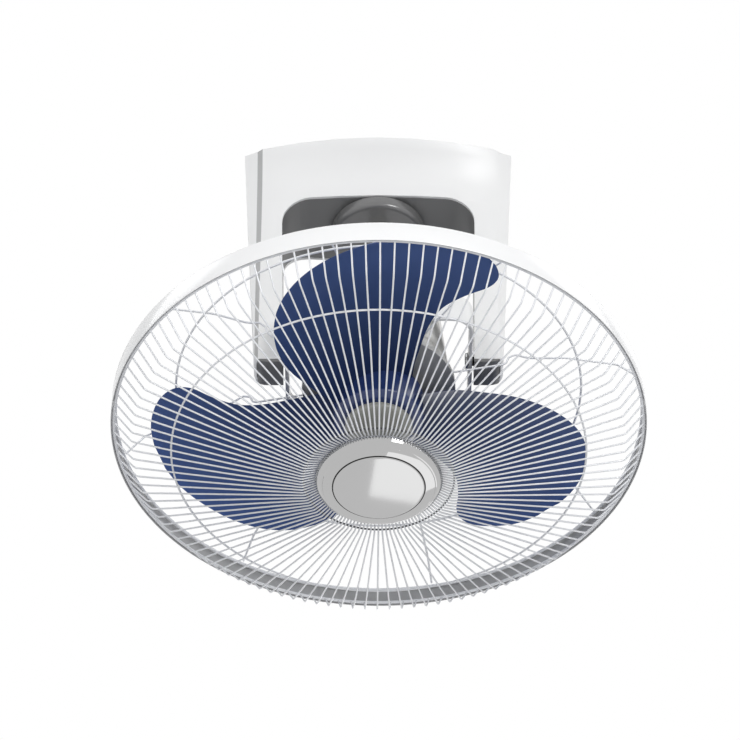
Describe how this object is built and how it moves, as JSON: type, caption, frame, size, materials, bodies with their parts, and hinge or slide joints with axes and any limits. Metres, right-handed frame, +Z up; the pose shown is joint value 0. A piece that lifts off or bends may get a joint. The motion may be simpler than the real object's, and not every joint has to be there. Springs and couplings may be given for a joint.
{
  "type": "orbital ceiling fan",
  "caption": "Ceiling fan whose caged head, on a two-axis gimbal in an arched yoke, is led round in a circle by a crank.",
  "frame": {"origin": "centre of the flat face that meets the ceiling", "axes": "+Z up into the ceiling; X along the pins in the yoke's two legs; the room and the fan head are below, towards -Z; the pictured front face looks to -Y"},
  "size_m": [0.45, 0.45, 0.3578],
  "materials": {
    "white_shell": "satin moulded plastic",
    "dark_liner": "fine matte moulded plastic",
    "white_gloss": "glossy moulded plastic",
    "plated_steel": "zinc plated sheet",
    "bright_steel": "ground bright",
    "bronze": "sintered",
    "motor_metal": "polished casting",
    "white_nylon": "moulded",
    "black_plastic": "moulded",
    "copper_winding": "enamelled wire",
    "lamination": "stacked sheet",
    "white_wire": "glossy powder coat",
    "blue_blade": "glossy, slightly clear",
    "olive_grey": "glossy",
    "silver_cap": "metallised gloss"
  },
  "bodies": {
    "yoke": {"ceiling_plate": "plated_steel", "yoke_frame": "plated_steel", "front_cover": "white_shell", "rear_cover": "white_shell", "arch_liner": "dark_liner", "leg_cap_left": "dark_liner", "leg_cap_right": "dark_liner", "yoke_bush_left": "bronze", "yoke_bush_right": "bronze", "drive_bracket": "plated_steel", "orbit_gearmotor": "motor_metal", "crank_bush": "bronze", "terminal_block": "white_nylon", "motor_capacitor": "black_plastic", "cable_grommet": "black_plastic"},
    "crank": {"crank_disc": "dark_liner", "crank_gear": "white_nylon", "crank_pin": "bright_steel", "crank_clip": "bright_steel"},
    "pinion": {"drive_pinion": "white_nylon"},
    "gimbal": {"gimbal_ring": "white_shell", "yoke_pin_left": "bright_steel", "yoke_pin_right": "bright_steel", "ring_bush_front": "bronze", "ring_bush_rear": "bronze"},
    "head": {"motor_front_housing": "motor_metal", "motor_rear_housing": "motor_metal", "motor_pin_front": "bright_steel", "motor_pin_rear": "bright_steel", "stator_core": "lamination", "stator_winding_front": "copper_winding", "stator_winding_rear": "copper_winding", "bearing_front": "bright_steel", "bearing_rear": "bright_steel", "drive_stem": "motor_metal", "stem_cup": "white_nylon", "rear_guard_plate": "plated_steel", "guard_nut": "white_nylon", "rear_rib_1": "white_wire", "rear_rib_2": "white_wire", "rear_rib_3": "white_wire", "rear_rib_4": "white_wire", "rear_rib_5": "white_wire", "rear_rib_6": "white_wire", "rear_rib_7": "white_wire", "rear_rib_8": "white_wire", "rear_guard_ring": "white_wire", "rear_rim_ring": "white_wire", "guard_band": "white_gloss", "front_guard": "white_wire", "front_guard_ring": "white_wire", "front_guard_inner_ring": "white_wire", "guard_cap": "silver_cap"},
    "rotor": {"rotor_shaft": "bright_steel", "rotor_core": "lamination", "blade_set": "blue_blade", "blade_pin": "bright_steel", "spinner": "olive_grey"}
  },
  "joints": [
    {"name": "crank_turn", "type": "hinge", "parent": "yoke", "child": "crank", "pos_m": [0, 0, -0.034], "axis": [0, 0, 1], "continuous": true},
    {"name": "pinion_turn", "type": "hinge", "parent": "yoke", "child": "pinion", "pos_m": [0.045, 0, -0.034], "axis": [0, 0, 1], "continuous": true},
    {"name": "gimbal_front_back", "type": "hinge", "parent": "yoke", "child": "gimbal", "pos_m": [0, 0, -0.211], "axis": [1, 0, 0], "range_deg": [-8, 8]},
    {"name": "head_left_right", "type": "hinge", "parent": "gimbal", "child": "head", "pos_m": [0, 0, -0.211], "axis": [0, 1, 0], "range_deg": [-8, 8]},
    {"name": "blade_spin", "type": "hinge", "parent": "head", "child": "rotor", "pos_m": [0, 0, -0.211], "axis": [0, 0, 1], "continuous": true}
  ],
  "couplings": [
    {"joint": "pinion_turn", "follows": "crank_turn", "ratio": -4}
  ]
}
